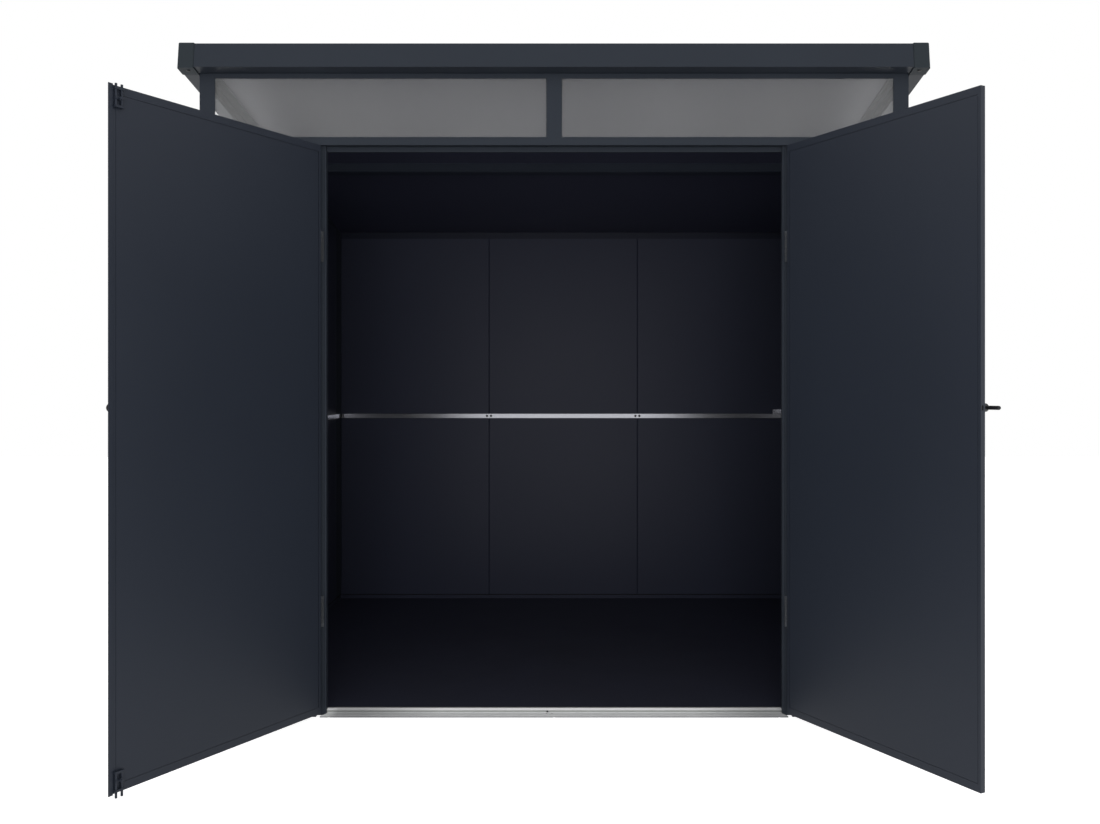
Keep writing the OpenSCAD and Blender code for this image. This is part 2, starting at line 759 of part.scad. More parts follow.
// The inner skin lies in the tray's opening and stands on three hat-shaped stiffeners
module leaf_skin(end) {
    x0 = leaf_start + flange_x + 2 * skin_gap;
    x1 = end - flange_x - skin_gap;
    z0 = leaf_z + flange_z + skin_gap;
    z1 = leaf_top - flange_z - skin_gap;
    wing = (stiffener_w - leaf_sheet) / 2;
    block([x0, cavity_1, z0], [x1, face_in, z1]);
    for (i = [1, 2, 3]) {
        x = leaf_start + i * leaf_w / 4;
        block([x - stiffener_w / 2, cavity_0, z0], [x + stiffener_w / 2, cavity_0 + leaf_sheet, z1]);
        for (side = [-1, 1]) block([x + side * wing - leaf_sheet / 2, cavity_0, z0],
            [x + side * wing + leaf_sheet / 2, face_in, z1]);
    }
}

// The angle along the left leaf's free edge that covers the gap between the closed leaves
module astragal() color(steel) on_leaf() difference() {
    low = leaf_z - astragal_z;
    high = leaf_top + astragal_z;
    union() {
        block([leaf_end, pin_proud + 1, low], [leaf_end + astragal_t, face_in + seat, high]);
        block([leaf_end, face_in + seat, low],
            [leaf_end + astragal_w, face_in + seat + astragal_t, high]);
    }
    latch_way(leaf_end, cut, latch_slot);
}

module left_leaf_tray() color(steel) on_leaf() leaf_tray(leaf_end);
module left_leaf_skin() color(steel) on_leaf() leaf_skin(leaf_end);

module right_leaf_tray() color(steel) other_side() on_leaf() difference() {
    leaf_tray(right_end);
    translate([right_end - handle_in, pin_proud - cut, handle_z]) rotate([-90, 0, 0])
        cylinder(h = leaf_sheet + 2 * cut, r = spindle_r + 0.5);
}

module right_leaf_skin() color(steel) other_side() on_leaf() leaf_skin(right_end);

// Slide bolts

rod_x = leaf_end - rod_edge;
rod_y = face_in + rod_stand;
guide_x0 = rod_x - rod_pitch - rod_r - 2;
guide_y = rod_y + rod_r + 1;
yoke_h = 8;

// A guide standing on Z = 0: a back plate and two saddles bored for the rods
module bolt_guide() difference() {
    union() {
        block([guide_x0, face_in, 0], [leaf_end - 1, face_in + 1.5, guide_h]);
        for (z = [0, guide_h - saddle_h])
            block([guide_x0, face_in + 1, z], [leaf_end - 1, guide_y, z + saddle_h]);
    }
    for (rod = [0, 1]) translate([rod_x - rod * rod_pitch, rod_y, -cut])
        cylinder(h = guide_h + 2 * cut, r = rod_r + rod_play);
}

// A bolt whose rods stand a given length out of the guide at its upper end
module slide_bolt(out) {
    rod_l = guide_h + out - 2;
    for (rod = [0, 1]) translate([rod_x - rod * rod_pitch, rod_y, 2])
        cylinder(h = rod_l, r = rod_r);
    yoke = guide_h / 2 - yoke_h / 2 - 2;
    block([rod_x - rod_pitch - rod_r, rod_y - 2, yoke], [rod_x + rod_r, rod_y + rod_r, yoke + yoke_h]);
    translate([rod_x - rod_pitch / 2, rod_y + rod_r, yoke + yoke_h / 2]) rotate([-90, 0, 0]) {
        cylinder(h = 6, r = 3);
        translate([0, 0, 6]) cylinder(h = 5, r = 4.5);
    }
}

// Places a guide or a bolt at the top of the leaf, and mirrored at the bottom
module at_leaf_top() translate([0, 0, leaf_top - guide_h - guide_rise]) children();
module at_leaf_bottom() translate([0, 0, leaf_z + guide_h + guide_rise]) mirror([0, 0, 1]) children();

module left_bolt_guides() color(steel) on_leaf() {
    at_leaf_top() bolt_guide();
    at_leaf_bottom() bolt_guide();
}

module left_top_bolt() color(black) on_leaf() at_leaf_top() slide_bolt(rod_up + guide_rise);
module left_bottom_bolt() color(black) on_leaf() at_leaf_bottom() slide_bolt(rod_down + guide_rise);

// Pull knob on the outer face of the left leaf
module left_pull_knob() color(black) on_leaf()
    translate([leaf_end - knob_in, pin_proud, handle_z]) rotate([90, 0, 0]) rotate_extrude()
        polygon([[0, 0], [knob_r * 0.8, 0], [knob_r * 0.65, 6], [knob_r * 0.75, 11],
            [knob_r, 15], [knob_r, 19], [knob_r * 0.85, 22], [0, 23]]);

// Lock in the right leaf

module at_handle(y = pin_proud) translate([right_end - handle_in, y, handle_z]) rotate([90, 0, 0])
    children();

module lock_case() color(black) other_side() on_leaf() {
    at_handle() difference() {
        cylinder(h = 3, r = rose_r);
        translate([0, 0, -cut]) cylinder(h = 3 + 2 * cut, r = spindle_r + 0.1);
    }
    difference() {
        block([right_end - handle_in - case_back, cavity_0, handle_z - case_h / 2],
            [right_end - leaf_sheet, cavity_1, handle_z + case_h / 2]);
        latch_way(right_end, latch_l + latch_in + seat, 0.2);
        at_handle(cavity_1 + cut) cylinder(h = leaf_t, r = spindle_r + 0.1);
    }
}

// The handle: hub, cross bar with round ends, and the spindle through the leaf
module tee_handle() color(black) other_side() on_leaf() at_handle() {
    bar_z = hub_l - bar_r - 3;
    difference() {
        union() {
            translate([0, 0, 3.2]) cylinder(h = hub_l - 5.2, r = hub_r);
            translate([0, 0, hub_l - 2]) cylinder(h = 2, r1 = hub_r, r2 = hub_r - 2);
            translate([0, 0, bar_z]) rotate([0, 90, 0])
                cylinder(h = bar_l - 2 * bar_r, r = bar_r, center = true);
            for (side = [-1, 1]) translate([side * (bar_l / 2 - bar_r), 0, bar_z]) sphere(r = bar_r);
        }
        translate([0, 0, hub_l - 18]) cylinder(h = 20, r = 7.1);
    }
    translate([0, 0, -leaf_t + 3]) cylinder(h = leaf_t + 1, r = spindle_r);
}

// The key cylinder in the hub, with its key slot
module key_cylinder() color(aluminium) other_side() on_leaf() at_handle()
    translate([0, 0, hub_l - 18]) difference() {
        cylinder(h = 18.5, r = 7);
        translate([-0.6, -4, 16]) cube([1.2, 8, 4]);
    }

module latch_bolt() color(black) other_side() on_leaf() difference() {
    tip = right_end - latch_in;
    block([tip - latch_l, latch_y - latch_t / 2, handle_z - latch_h / 2],
        [tip, latch_y + latch_t / 2, handle_z + latch_h / 2]);
    translate([tip, latch_y - latch_t / 2, handle_z]) rotate([0, 0, 45])
        cube([3, 3, 2 * latch_h], center = true);
}

sill();
floor_panel();
base_rails();
post_front_left();
post_front_right();
post_rear_left();
post_rear_right();
front_panel_left();
front_panel_right();
side_panels_left();
side_panels_right();
back_panel_left();
back_panel_middle();
back_panel_right();
band_rail_front();
band_rail_left();
band_rail_right();
trim_rail_back();
jamb_left();
jamb_right();
head_strip();
mullion();
head_rail_front();
head_rail_left();
head_rail_right();
front_pane_left();
front_pane_right();
side_pane_left();
side_pane_right();
shelf_rail_back();
shelf_rail_left();
shelf_rail_right();
rail_corner_bracket();
frame_screws();
fascia_front();
fascia_left();
fascia_right();
gutter_fascia();
gutter_outlets();
corner_caps();
purlin();
roof_sheets();
frame_hinges_left();
frame_hinges_right();
hinge_pins();
left_leaf_tray();
left_leaf_skin();
left_leaf_hinges();
astragal();
left_bolt_guides();
left_pull_knob();
left_top_bolt();
left_bottom_bolt();
right_leaf_tray();
right_leaf_skin();
right_leaf_hinges();
lock_case();
tee_handle();
key_cylinder();
latch_bolt();
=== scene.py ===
import math
import bpy
import bmesh
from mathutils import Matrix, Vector


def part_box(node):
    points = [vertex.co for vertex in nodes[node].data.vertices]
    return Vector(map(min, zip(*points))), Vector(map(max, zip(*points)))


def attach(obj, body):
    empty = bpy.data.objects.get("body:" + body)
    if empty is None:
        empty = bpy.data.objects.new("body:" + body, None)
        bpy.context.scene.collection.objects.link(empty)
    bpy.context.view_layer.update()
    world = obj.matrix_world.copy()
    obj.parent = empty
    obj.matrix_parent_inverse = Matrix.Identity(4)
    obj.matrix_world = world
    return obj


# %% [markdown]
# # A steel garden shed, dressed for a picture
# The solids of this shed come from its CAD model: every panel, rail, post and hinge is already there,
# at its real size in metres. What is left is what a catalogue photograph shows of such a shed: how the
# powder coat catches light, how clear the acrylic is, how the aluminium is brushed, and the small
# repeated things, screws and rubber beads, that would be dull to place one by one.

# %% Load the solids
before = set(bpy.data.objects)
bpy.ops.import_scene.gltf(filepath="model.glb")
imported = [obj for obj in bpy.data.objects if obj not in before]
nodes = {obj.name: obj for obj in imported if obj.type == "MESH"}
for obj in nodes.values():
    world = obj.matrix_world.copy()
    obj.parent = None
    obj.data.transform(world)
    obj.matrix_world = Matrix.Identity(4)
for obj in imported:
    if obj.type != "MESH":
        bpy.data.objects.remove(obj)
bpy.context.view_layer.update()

# %% [markdown]
# ## The camera
# The photograph is a level, frontal view. Its vanishing point sits right of and above the middle of
# the picture, which a lens shift gives without tilting the camera, so uprights stay upright.

# %% Place the camera
picture_w, picture_h = 1100, 824
focal_px = 1041.0
vanish_x, vanish_y = 579.9, 389.1
eye = (0.084, -4.337, 1.068)
lens = bpy.data.cameras.new("front_view")
lens.sensor_fit = "HORIZONTAL"
lens.sensor_width = 36.0
lens.lens = focal_px / picture_w * lens.sensor_width
lens.shift_x = (picture_w / 2 - vanish_x) / picture_w
lens.shift_y = (vanish_y - picture_h / 2) / picture_w
lens.clip_end = 100.0
camera = bpy.data.objects.new("front_view", lens)
camera.location = eye
camera.rotation_euler = (math.radians(90), 0, 0)
bpy.context.scene.collection.objects.link(camera)
bpy.context.scene.camera = camera
print("lens", round(lens.lens, 2), "mm, shift", round(lens.shift_x, 4), round(lens.shift_y, 4))

# %% [markdown]
# ## Writing materials as arithmetic
# A shader is a small program drawn as boxes and wires. Typing it as arithmetic is shorter and easier
# to read, so a wire gets Python's own operators here: `grain * 0.1 + 0.4` adds two Math nodes. Only
# the operators that the finishes below use are written out.

# %% A wire that can be calculated with
class Wire:
    """An output socket inside a finish, on which Python's operators make Math nodes."""

    def __init__(self, finish, socket):
        self.finish = finish
        self.socket = socket

    def math(self, operation, first, second=0.0):
        return self.finish.node("Math", {"operation": operation}, {0: first, 1: second})

    def __add__(self, other):
        return self.math("ADD", self, other)

    def __radd__(self, other):
        return self.math("ADD", other, self)

    def __sub__(self, other):
        return self.math("SUBTRACT", self, other)

    def __rsub__(self, other):
        return self.math("SUBTRACT", other, self)

    def __mul__(self, other):
        return self.math("MULTIPLY", self, other)

    def __rmul__(self, other):
        return self.math("MULTIPLY", other, self)

    def __truediv__(self, other):
        return self.math("DIVIDE", self, other)

    def __gt__(self, other):
        return self.math("GREATER_THAN", self, other)

    def __lt__(self, other):
        return self.math("LESS_THAN", self, other)

    def limited(self):
        """The value kept between 0 and 1."""
        return self.finish.node("Clamp", {}, {0: self})

    def size(self):
        """The value without its sign."""
        return self.math("ABSOLUTE", self)

    def swing(self, amount):
        """How far a noise is from its middle, a half, times an amount."""
        return (self - 0.5) * amount

# %% [markdown]
# A finish is one material with one Principled shader, the node that stands for most real surfaces. One
# method adds every other kind of node: first its settings, such as a ramp's stops, and then what goes
# into its sockets. Patterns are measured in metres on the piece itself, so they don't stretch or slide
# when a door swings.

# %% A finish: one material and its nodes
class Finish:
    """A material under construction, with one Principled shader."""

    def __init__(self, name):
        self.material = bpy.data.materials.new(name)
        self.material.use_nodes = True
        self.tree = self.material.node_tree
        self.tree.nodes.clear()
        self.output = self.tree.nodes.new("ShaderNodeOutputMaterial")
        self.shader = self.tree.nodes.new("ShaderNodeBsdfPrincipled")
        self.tree.links.new(self.shader.outputs[0], self.output.inputs[0])

    def plug(self, socket, value):
        """Links a wire to a socket, or sets the socket to a plain value."""
        if isinstance(value, Wire):
            self.tree.links.new(value.socket, socket)
        else:
            socket.default_value = value

    def node(self, kind, settings=None, sockets=None, out=0):
        """Adds a node of one kind and gives back the wire from one of its outputs."""
        made = self.tree.nodes.new("ShaderNode" + kind)
        for key, value in (settings or {}).items():
            if key == "stops":
                while len(made.color_ramp.elements) > 1:
                    made.color_ramp.elements.remove(made.color_ramp.elements[-1])
                made.color_ramp.elements[0].position = value[0][0]
                made.color_ramp.elements[0].color = value[0][1]
                for position, color in value[1:]:
                    made.color_ramp.elements.new(position).color = color
            else:
                setattr(made, key, value)
        for key, value in (sockets or {}).items():
            self.plug(made.inputs[key], value)
        return Wire(self, made.outputs[out])

    def place(self):
        """The point on the piece, in metres, in the shed's own frame."""
        return self.node("TexCoord", out="Object")

    def coordinate(self, axis):
        """The point's distance from the shed's origin along X, Y or Z."""
        return self.node("SeparateXYZ", {}, {0: self.place()}, out="XYZ".index(axis))

    def noise(self, size, detail=2.0, stretch=(1, 1, 1)):
        """Cloudy noise whose blotches are about `size` metres across."""
        point = self.node("Mapping", {}, {"Vector": self.place(), "Scale": stretch})
        return self.node("TexNoise", {}, {"Vector": point, "Scale": 1.0 / size, "Detail": detail})

    def blend(self, amount, start, end):
        """One colour turning into another as the amount goes from 0 to 1."""
        # This node has its sockets once for each kind of data. These are the ones for colours.
        amount_in, start_in, end_in, result_out = 0, 6, 7, 2
        mix = self.tree.nodes.new("ShaderNodeMix")
        mix.data_type = "RGBA"
        self.plug(mix.inputs[amount_in], amount)
        self.plug(mix.inputs[start_in], start)
        self.plug(mix.inputs[end_in], end)
        return Wire(self, mix.outputs[result_out])

    def bump(self, height, depth, strength):
        """A relief whose full height is `depth` metres."""
        return self.node("Bump", {}, {"Height": height, "Distance": depth, "Strength": strength})

    def shade(self, **sockets):
        """Plugs values into the Principled shader's own sockets and gives back the material."""
        for name, value in sockets.items():
            label = name.replace("_", " ").title().replace("Ior", "IOR")
            self.plug(self.shader.inputs[label], value)
        return self.material

# %% [markdown]
# ## Colours from a paint card
# A paint card is read here as screen colours from 0 to 255. Light adds up in linear amounts instead, and
# those are what a shader wants, so one function turns the first into the second. Two small ones make the
# darker and lighter neighbours that a finish varies between.

# %% Screen colours as shader colours
def paint(red, green, blue):
    """An 8-bit screen colour as the linear colour that a shader wants, by the sRGB standard."""
    linear = [v / 255 / 12.92 if v <= 10 else ((v / 255 + 0.055) / 1.055) ** 2.4
              for v in (red, green, blue)]
    return (*linear, 1.0)

def shifted(card, steps):
    """A screen colour some steps of 255 darker or lighter, as a shader colour."""
    return paint(*[max(0, v + steps) for v in card])

def scaled(colour, share):
    """A shader colour with its light scaled, still opaque."""
    return [v * share for v in colour[:3]] + [1.0]

print("middle grey of a screen, as light:", round(paint(128, 128, 128)[0], 3))

# %% [markdown]
# ## Powder coat
# The steel is folded, then sprayed with a dry powder that melts into a skin. The skin is even in colour
# but not flat: it has a fine grain like orange peel. The grain is far below a pixel in the main view,
# yet it is what spreads a highlight softly. A bump from fine noise does it, with a slow, faint change of
# shade and gloss on top, so that no two panels look printed. Wall and roof sheets get their colour on
# one side only: the other side has the mill's paler backing lacquer, and that colour is also painted
# light, set paler to stand in for light bounced into the shed. A face that looks towards the middle of
# the shed is such a side, which the sign of one dot product tells.

# %% Powder-coated steel
cloud_size, speck_size, peel_size = 0.55, 0.0011, 0.0024
speck_start, speck_strength, speck_light = 0.55, 0.5, 1.5
cloud_gloss, speck_gloss = 0.08, 0.06
peel_share, speck_share, coat_bump = 0.7, 0.3, 0.6
shed_middle = (0, 0, 1.0)

def powder_coat(name, colour, gloss=0.42, peel_depth=0.00048, cloud=0.06, inner=None, shine=0.2):
    """Baked powder. `inner` is the colour of the faces that look towards the shed's middle."""
    coat = Finish(name)
    cloudy = coat.noise(cloud_size, 3.0)
    speck = coat.noise(speck_size, 1.0)
    peel = coat.noise(peel_size, 2.0)
    body = coat.blend(cloudy, scaled(colour, 1 - cloud), scaled(colour, 1 + cloud))
    specks = (speck - speck_start).limited() * speck_strength
    body = coat.blend(specks, body, scaled(colour, speck_light))
    # The inner colour is backing lacquer and painted light together: set paler for light bounced into
    # the shed.
    if inner is not None:
        facing = coat.node("NewGeometry", out="Normal")
        away = coat.node("VectorMath", {"operation": "SUBTRACT"}, {0: coat.place(), 1: shed_middle})
        side = coat.node("VectorMath", {"operation": "DOT_PRODUCT"}, {0: facing, 1: away}, out="Value")
        body = coat.blend(side < 0.0, body, inner)
    return coat.shade(base_color=body, specular_ior_level=shine,
                      roughness=gloss + cloudy.swing(cloud_gloss) + speck.swing(speck_gloss),
                      normal=coat.bump(peel * peel_share + speck * speck_share, peel_depth, coat_bump))

anthracite = paint(40, 44, 54)
frame_coat = powder_coat("frame_coat", paint(46, 51, 59), shine=0.10)
panel_coat = powder_coat("panel_coat", anthracite, gloss=0.40, inner=paint(45, 48, 63))
leaf_coat = powder_coat("leaf_coat", paint(40, 45, 55))
roof_coat = powder_coat("roof_coat", anthracite, gloss=0.38, inner=paint(56, 58, 75))
# The trim rail wears a darker copy of the sheets' colour: painted shade, for the shadow that lies on it.
shaded_trim_coat = powder_coat("shaded_trim_coat", paint(29, 32, 45), gloss=0.45)
powder_coats = (frame_coat, panel_coat, leaf_coat, roof_coat, shaded_trim_coat)
print("powder coats:", [coat.name for coat in powder_coats])

# %% [markdown]
# ## Floor panel
# The floor is the same steel with a coarser, flatter coat for grip, and it has seen a few boots: the
# place just inside the doorway is a shade duller than the corners. The worn patch fades with the square
# of the distance and is mixed with cloudy noise, so that its edge isn't seen.

# %% Floor steel
before_middle = 0.6
grit_size, grit_depth, dust_size = 0.0016, 0.0005, 0.35
fade_across, fade_along = 0.9, 0.5
floor_gloss, dust_gloss = 0.52, 0.2

def floor_steel():
    """Gritty steel, dusty where people step in."""
    coat = Finish("floor_steel")
    grit = coat.noise(grit_size, 2.0)
    dust = coat.noise(dust_size, 4.0)
    across, along = coat.coordinate("X"), coat.coordinate("Y")
    inwards = along + before_middle
    walked = (1 - (across * across * fade_across + inwards * inwards * fade_along)).limited()
    body = coat.blend(walked * dust, paint(41, 43, 58), paint(34, 35, 46))
    return coat.shade(base_color=body, roughness=floor_gloss + walked * dust * dust_gloss,
                      normal=coat.bump(grit, grit_depth, 0.7))

floor_coat = floor_steel()
print("floor:", floor_coat.name)

# %% [markdown]
# ## Aluminium
# The sill and the shelf rails are extruded aluminium, left bare. Extruding draws fine lines along the
# bar, so the noise is stretched a few hundred times along it, and those lines go into colour, gloss and
# bump. The shelf rails keep their mill shine, and the one at the back mirrors the doorway.

# %% Drawn aluminium
mill_card, mill_gloss = (174, 175, 182), 0.24
rail_line_size, rail_stretch, rail_haze_size = 0.0009, 0.004, 0.12
line_depth = 0.00001

def drawn_aluminium(name, along):
    """Bare shiny metal with lines along one axis."""
    metal = Finish(name)
    stretch = [1.0, 1.0, 1.0]
    stretch["XYZ".index(along)] = rail_stretch
    lines = metal.noise(rail_line_size, 1.0, stretch)
    haze = metal.noise(rail_haze_size, 3.0)
    body = metal.blend(lines, shifted(mill_card, -10), shifted(mill_card, 6))
    return metal.shade(base_color=body, metallic=1.0,
                       roughness=mill_gloss + lines.swing(0.06) + haze.swing(0.04),
                       normal=metal.bump(lines, line_depth, 0.3))

rail_metal = drawn_aluminium("rail_aluminium", "X")
side_rail_metal = drawn_aluminium("side_rail_aluminium", "Y")
print("rails:", rail_metal.name, side_rail_metal.name)

# %% [markdown]
# The sill is anodised: a hard matt skin that scatters light almost like paint. Its colour carries
# painted light and shade: the flat ledge, the slope above the riser and the top edge of the nose are
# painted bright as if lit, and the foot of the nose, the riser and the tread are painted darker as if in
# shade. Below the tread it is painted darker towards the two ends, a painted shade and reflection of
# the open leaves. So the colour follows the height of each face, by a ramp from the ground up, and the
# distance from the middle.

# %% Anodised sill
ramp_h = 0.020
ledge_low, ledge_high = 0.0050, 0.0060
below_tread = 0.018
lit_middle, lit_half, lit_fade = 0.035, 0.42, 0.24
end_shade_limit, end_shade_fade = 0.775, 0.03
line_strength, end_shade_strength = 0.06, 0.45
sill_line_size, sill_stretch, sill_haze_size = 0.0006, 0.002, 0.10
sill_gloss = 0.52

def anodised_sill():
    """Matt metal, with light and shade painted by the height of its faces and shade painted near its
    ends.
    """
    metal = Finish("sill_aluminium")
    lines = metal.noise(sill_line_size, 1.0, (sill_stretch, 1.0, 1.0))
    haze = metal.noise(sill_haze_size, 3.0)
    height, across = metal.coordinate("Z"), metal.coordinate("X")
    # The face colours are painted light and shade: ledge, slope and the nose's top edge painted bright
    # as if lit; the nose's foot, the riser and the tread painted darker as if shaded.
    nose, nose_edge, nose_top = paint(150, 151, 153), paint(192, 193, 194), paint(204, 205, 206)
    ledge, riser = paint(253, 254, 255), paint(174, 176, 174)
    slope, tread = paint(241, 242, 242), paint(152, 153, 154)
    stops = [(0.0, nose), (0.17, nose), (0.19, nose_edge), (0.25, nose_top),
             (0.265, ledge), (0.29, ledge), (0.31, riser), (0.60, riser),
             (0.66, slope), (0.91, slope), (0.94, tread), (1.0, tread)]
    faces = metal.node("ValToRGB", {"stops": stops}, {0: height / ramp_h})
    # Below the tread the colour is painted darker towards both ends: painted shade and reflection of the
    # open leaves.
    off_middle = (across - lit_middle).size()
    past_lit_middle = ((off_middle - lit_half) / lit_fade).limited()
    before_end = ((end_shade_limit - off_middle) / end_shade_fade).limited()
    end_shade = past_lit_middle * before_end * (height < below_tread)
    on_ledge = (height > ledge_low) * (height < ledge_high)
    body = metal.blend((lines - 0.5).limited() * line_strength, faces, paint(140, 141, 142))
    body = metal.blend(end_shade * end_shade_strength, body, paint(60, 62, 66))
    return metal.shade(base_color=body, metallic=0.35 * (1 - on_ledge), specular_ior_level=0.15,
                       roughness=sill_gloss + lines.swing(0.10) + haze.swing(0.06),
                       normal=metal.bump(lines, line_depth, 0.2))

sill_metal = anodised_sill()
print("sill:", sill_metal.name)

# %% [markdown]
# ## Zinc plate
# The hinges and the key cylinder are plated steel. Zinc grows in flat crystals as it cools, a faint
# spangle seen as soft patches of shade and gloss, and Voronoi cells have just that shape.

# %% Zinc plate
spangles_per_metre = 260.0
zinc_cloud_size, zinc_gloss, spangle_depth = 0.004, 0.34, 0.00005

def zinc_plate():
    """Plated steel with a fine spangle."""
    metal = Finish("zinc_plate")
    cells = metal.node("TexVoronoi", {}, {"Vector": metal.place(), "Scale": spangles_per_metre})
    cloudy = metal.noise(zinc_cloud_size, 3.0)
    body = metal.blend(cells, paint(104, 107, 112), paint(158, 161, 166))
    return metal.shade(base_color=body, metallic=1.0, roughness=zinc_gloss + cloudy.swing(0.12),
                       normal=metal.bump(cells, spangle_depth, 0.4))

zinc = zinc_plate()
print("plating:", zinc.name)

# %% [markdown]
# ## Black lacquer, plastic, oxide and rubber
# The handle, the lock case and the latch are lacquered satin black. The pull knob, the bracket of the
# rail and the gutter outlets are moulded plastic, the screws that show are oxidised black, and the panes
# sit in rubber. These differ only in shade, gloss and how coarse their grain is, so one recipe serves
# all four. The corner caps are plastic too, but coloured to go with the powder coat, so they borrow its
# recipe with a rougher skin.

# %% The black finishes and the cap plastic
skin_cloud_size, grain_depth = 0.03, 0.0001

def satin_black(name, card, gloss, grain_size):
    """A dark, slightly uneven skin with a fine grain."""
    skin = Finish(name)
    grain = skin.noise(grain_size, 2.0)
    cloudy = skin.noise(skin_cloud_size, 2.0)
    body = skin.blend(cloudy, shifted(card, -3), shifted(card, 4))
    return skin.shade(base_color=body, specular_ior_level=0.2, roughness=gloss + cloudy.swing(0.1),
                      normal=skin.bump(grain, grain_depth, 0.5))

black_lacquer = satin_black("black_lacquer", (35, 36, 39), gloss=0.38, grain_size=0.0012)
black_plastic = satin_black("black_plastic", (28, 28, 30), gloss=0.50, grain_size=0.0009)
screw_oxide = satin_black("screw_oxide", (8, 8, 9), gloss=0.55, grain_size=0.0009)
rubber = satin_black("glazing_rubber", (20, 20, 21), gloss=0.65, grain_size=0.0006)
cap_plastic = powder_coat("cap_plastic", paint(46, 52, 57), gloss=0.55, peel_depth=0.00064,
                          cloud=0.03, shine=0.09)
dark_finishes = (black_lacquer, black_plastic, screw_oxide, rubber, cap_plastic)
print("dark finishes:", [finish.name for finish in dark_finishes])

# %% [markdown]
# ## Clear acrylic
# The panes under the roof look grey from the front because the dark inside of the shed is behind them
# and a bright room is mirrored on them. A thin pane needs no refraction: a mostly transparent surface
# with a pale veil gives both, and lets light into the shed without slow glass caustics.

# %% Acrylic panes
pane_haze_size, pane_gloss = 0.22, 0.10
veil, veil_swing = 0.096, 0.01

def clear_acrylic():
    """A clear sheet with a thin, slightly uneven veil."""
    pane = Finish("clear_acrylic")
    haze = pane.noise(pane_haze_size, 2.0)
    body = pane.blend(haze, paint(228, 229, 231), paint(240, 241, 243))
    uneven_veil = veil + haze.swing(veil_swing)
    return pane.shade(base_color=body, roughness=pane_gloss + haze * 0.03, alpha=uneven_veil)

acrylic = clear_acrylic()
print("panes:", acrylic.name)

# %% [markdown]
# ## Which piece gets which finish
# One table says it all, so that a finish is changed in one place. What it doesn't name is a pane, a wall
# panel or a part of the frame, and its name tells which.

# %% Give every solid its finish
wearers = (
    (sill_metal, ("sill",)),
    (rail_metal, ("shelf_rail_back",)),
    (side_rail_metal, ("shelf_rail_left", "shelf_rail_right")),
    (floor_coat, ("floor_panel",)),
    (panel_coat, ("base_rails",)),
    (roof_coat, ("roof_sheets",)),
    (shaded_trim_coat, ("trim_rail_back",)),
    (cap_plastic, ("corner_caps",)),
    (screw_oxide, ("frame_screws",)),
    (zinc, ("frame_hinges_left", "frame_hinges_right", "left_leaf_hinges", "right_leaf_hinges",
            "hinge_pins", "key_cylinder")),
    (black_plastic, ("rail_corner_bracket", "gutter_outlets", "left_pull_knob")),
    (black_lacquer, ("lock_case", "tee_handle", "latch_bolt")),
    (leaf_coat, ("left_leaf_tray", "left_leaf_skin", "right_leaf_tray", "right_leaf_skin", "astragal",
                 "left_bolt_guides", "left_top_bolt", "left_bottom_bolt", "purlin")),
)
finish_of = {name: finish for finish, names in wearers for name in names}

def usual_finish(name):
    """What a piece wears when the table doesn't name it."""
    if name.endswith(("pane_left", "pane_right")):
        return acrylic
    return panel_coat if "panel" in name else frame_coat

for name, piece in nodes.items():
    piece.data.materials.clear()
    piece.data.materials.append(finish_of.get(name, usual_finish(name)))
print("finished:", len(nodes), "solids,", len(finish_of), "of them by the table")

# %% [markdown]
# ## Trees of nodes for what repeats
# Screws in rows and beads round panes follow a rule, so Geometry Nodes make them. Each tree takes bare
# edges, named sizes and a finish, and gives back a mesh. How a tree begins and ends is always the same:
# its sockets first, and at the end the copies made real and their material set, because only real
# geometry can be exported.

# %% The beginning and the end of a tree
def add(tree, kind, inputs=None, **settings):
    """A new node of one kind, with its settings and then the values of its inputs."""
    made = tree.nodes.new(kind)
    for key, value in settings.items():
        setattr(made, key, value)
    for key, value in (inputs or {}).items():
        made.inputs[key].default_value = value
    return made

def link(tree, source, output, target, socket):
    """A wire from one node's output to another node's input."""
    tree.links.new(source.outputs[output], target.inputs[socket])

def begin_tree(name, edges, sizes, result):
    """An empty tree with its sockets, and the nodes that stand for its inputs and its result."""
    tree = bpy.data.node_groups.new(name, "GeometryNodeTree")
    sockets = tree.interface
    sockets.new_socket(edges, in_out="INPUT", socket_type="NodeSocketGeometry")
    for label, value in sizes.items():
        sockets.new_socket(label, in_out="INPUT", socket_type="NodeSocketFloat").default_value = value
    sockets.new_socket("Finish", in_out="INPUT", socket_type="NodeSocketMaterial")
    sockets.new_socket(result, in_out="OUTPUT", socket_type="NodeSocketGeometry")
    return tree, add(tree, "NodeGroupInput"), add(tree, "NodeGroupOutput")

def end_tree(tree, shape, output, given, ends, result):
    """Makes the shape real, sets its material and hands it to the tree's result."""
    real = add(tree, "GeometryNodeRealizeInstances")
    coat = add(tree, "GeometryNodeSetMaterial")
    link(tree, shape, output, real, "Geometry")
    link(tree, real, "Geometry", coat, "Geometry")
    link(tree, given, "Finish", coat, "Material")
    link(tree, coat, "Geometry", ends, result)

# %% [markdown]
# ## Screws by the hundred
# Self-drilling screws hold the sheets to the rails in straight rows. A row is a rule, not a drawing: a
# line, a spacing, one screw. The tree cuts each edge into equal steps and stands a screw on each point,
# facing the way that the point's `out` attribute says. A screw is a cone, narrower at its top, on a
# washer about half as wide again.

# %% One node tree for a row of screws
head_sides, washer_sides = 16, 20
top_share, washer_share = 0.72, 1.45
washer_t = 0.0012

